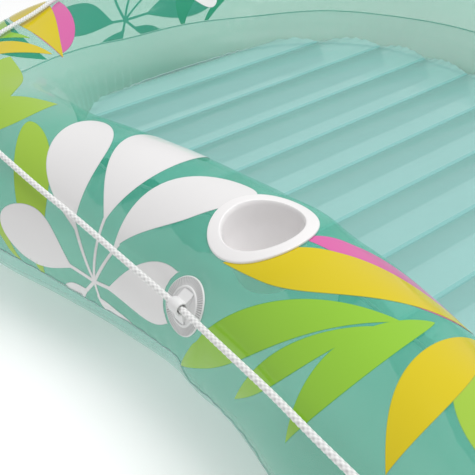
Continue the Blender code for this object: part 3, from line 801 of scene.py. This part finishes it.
knot_s = FOOT_S + 0.110
knot_point, knot_along, knot_across, knot_normal = [np.array(v) for v in ring_axes(knot_s, round_tube(40.0))]
knot_middle = knot_point + knot_normal * (ROPE_CLEARANCE + 0.003)
route = [knot_middle, knot_middle + knot_along * KNOT_HALF * 2]
for s, w in sorted((s + RING_LENGTH * (s < knot_s), w) for s, w in EYELETS):
    point, along, _, normal = [np.array(v) for v in ring_axes(s, w)]
    middle = point + normal * HOLE_HEIGHT
    passing = [middle - along * 0.011, middle, middle + along * 0.011]
    shares = np.arange(1, 6)[:, None] / 6
    route += off_tube(route[-1] * (1 - shares) + passing[0] * shares, ROPE_CLEARANCE) + passing
last = knot_middle - knot_along * KNOT_HALF * 2
route += off_tube(route[-1] * (1 - shares) + last * shares, ROPE_CLEARANCE) + [last, knot_middle]
rope_yarn = rope_fibre()
rope = braided("rope", route, ROPE_R, rope_yarn)
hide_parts("grab_rope")

turns = np.linspace(0, 3, 37)
wraps = [knot_middle + knot_along * (0.0062 * (t - 1.5))
         + 0.0056 * (knot_across * math.cos(2 * math.pi * t) + knot_normal * math.sin(2 * math.pi * t))
         for t in turns]
tails = [knot_middle - knot_along * 0.019 + knot_across * 0.0120,
         knot_middle + knot_along * 0.019 + knot_across * 0.0120]
knot = braided("rope_wraps", tails[:1] + wraps + tails[1:], ROPE_R * 0.85, rope_yarn)
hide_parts("rope_knot")

# --- Air valves -------------------------------------------------------------
# Ring and floor each have a push-in valve of clear soft vinyl: a welded seat,
# a stem that pushes down into it, a plug on its hinge, and a flap inside.
valve_vinyl = vinyl("valve_vinyl", (0.70, 0.80, 0.80), 0.22, 0.92, peel=0.02, mottle=0.01)
SEAT = [(0.0094, -0.0160, 0), (0.0110, -0.0160, 0.0004), (0.0110, 0.0014, 0.0005), (0.0210, 0.0014, 0.0004),
        (0.0210, 0.0030, 0.0006), (0.0180, 0.0032, 0.0004), (0.0172, 0.0028, 0.0003),
        (0.0126, 0.0028, 0.0003),
        (0.0120, 0.0032, 0.0003), (0.0094, 0.0032, 0.0005), (0.0094, -0.0160, 0)]
STEM_END = 0.0035 - 0.0200
STEM_TUBE = [(0.0062, STEM_END, 0), (0.0090, STEM_END, 0.0004), (0.0090, 0.0035, 0.0004),
             (0.0115, 0.0035, 0.0004),
             (0.0115, 0.0051, 0.0004), (0.0062, 0.0051, 0.0004), (0.0062, STEM_END, 0)]
PLUG = [(0.0, 0.0014, 0), (0.0044, 0.0014, 0.0004), (0.0050, 0.0022, 0.0004), (0.0056, 0.0054, 0.0002),
        (0.0105, 0.0054, 0.0004), (0.0105, 0.0074, 0.0006), (0.0070, 0.0074, 0.0004),
        (0.0060, 0.0070, 0.0004),
        (0.0, 0.0070, 0)]
FLAP = [(0.0, STEM_END - 0.0011, 0), (0.0082, STEM_END - 0.0011, 0.0003), (0.0082, STEM_END - 0.0003, 0.0003),
        (0.0, STEM_END - 0.0003, 0)]
LUG_HALF = 0.0035
HINGE_U = 0.0136


def valve_piece(name, profile, axes, body, node, reach=None, lug_from=0.0):
    piece = turned(name, profile, 64)
    points = points_of(piece)
    if reach is not None:
        edge = np.hypot(points[:, 0], points[:, 1])
        out = (points[:, 2] > lug_from) & (np.abs(points[:, 1]) < LUG_HALF) & (points[:, 0] > 0.0090)
        pulled = points[:, 0] + (reach - 0.0110) * np.clip((edge - 0.0090) / 0.0015, 0, 1)
        points[:, 0] = np.where(out, pulled, points[:, 0])
    reshape(piece, placed(points, axes))
    piece.data.materials.append(valve_vinyl)
    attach(piece, body)
    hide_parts(node)


floor_axes = (Vector((0.6060, 0.120, 0.118)), Vector((0, 1, 0)), Vector((-1, 0, 0)), Vector((0, 0, 1)))
for chamber, axes in (("ring", ring_axes(VALVE_S, VALVE_W)), ("floor", floor_axes)):
    valve_piece(chamber + "_seat", SEAT, axes, "root", chamber + "_valve_seat")
    valve_piece(chamber + "_stem_tube", STEM_TUBE, axes, chamber + "_stem", chamber + "_valve_stem",
                HINGE_U - 0.0006, 0.0030)
    valve_piece(chamber + "_plug_cap", PLUG, axes, chamber + "_plug", chamber + "_valve_plug",
                HINGE_U, 0.0050)
    valve_piece(chamber + "_flap_disc", FLAP, axes, chamber + "_flap", chamber + "_valve_flap")

# --- Stage and light --------------------------------------------------------
# A plain white floor, a bright even surround, and soft boxes above and beside.
bpy.ops.mesh.primitive_grid_add(x_subdivisions=4, y_subdivisions=4, size=14.0, location=(0, 0, 0))
ground = bpy.context.object
ground.name = "ground"
paper = bpy.data.materials.new("paper")
paper.use_nodes = True
paper_shader = paper.node_tree.nodes["Principled BSDF"]
paper_shader.inputs["Base Color"].default_value = (0.93, 0.93, 0.93, 1)
paper_shader.inputs["Roughness"].default_value = 0.9
paper_shader.inputs["Emission Color"].default_value = (1, 1, 1, 1)
paper_shader.inputs["Emission Strength"].default_value = 0.20
ground.data.materials.append(paper)

world = bpy.data.worlds.new("surround")
world.use_nodes = True
world.node_tree.nodes["Background"].inputs["Color"].default_value = (1.0, 1.0, 1.0, 1)
world.node_tree.nodes["Background"].inputs["Strength"].default_value = 0.50
bpy.context.scene.world = world


def soft_box(name, location, target, width, height, power):
    bpy.ops.object.light_add(type="AREA", location=location)
    lamp = bpy.context.object
    lamp.name = name
    lamp.data.shape = "RECTANGLE"
    lamp.data.size = width
    lamp.data.size_y = height
    lamp.data.energy = power
    lamp.rotation_euler = (Vector(target) - Vector(location)).to_track_quat("-Z", "Y").to_euler()


soft_box("overhead", (0.3, 0.1, 2.6), (0.1, -0.2, 0.1), 2.4, 2.0, 50)
soft_box("side", (2.6, 1.2, 1.6), (0, -0.2, 0.1), 1.2, 1.8, 10)
bpy.context.scene.view_settings.view_transform = "Standard"
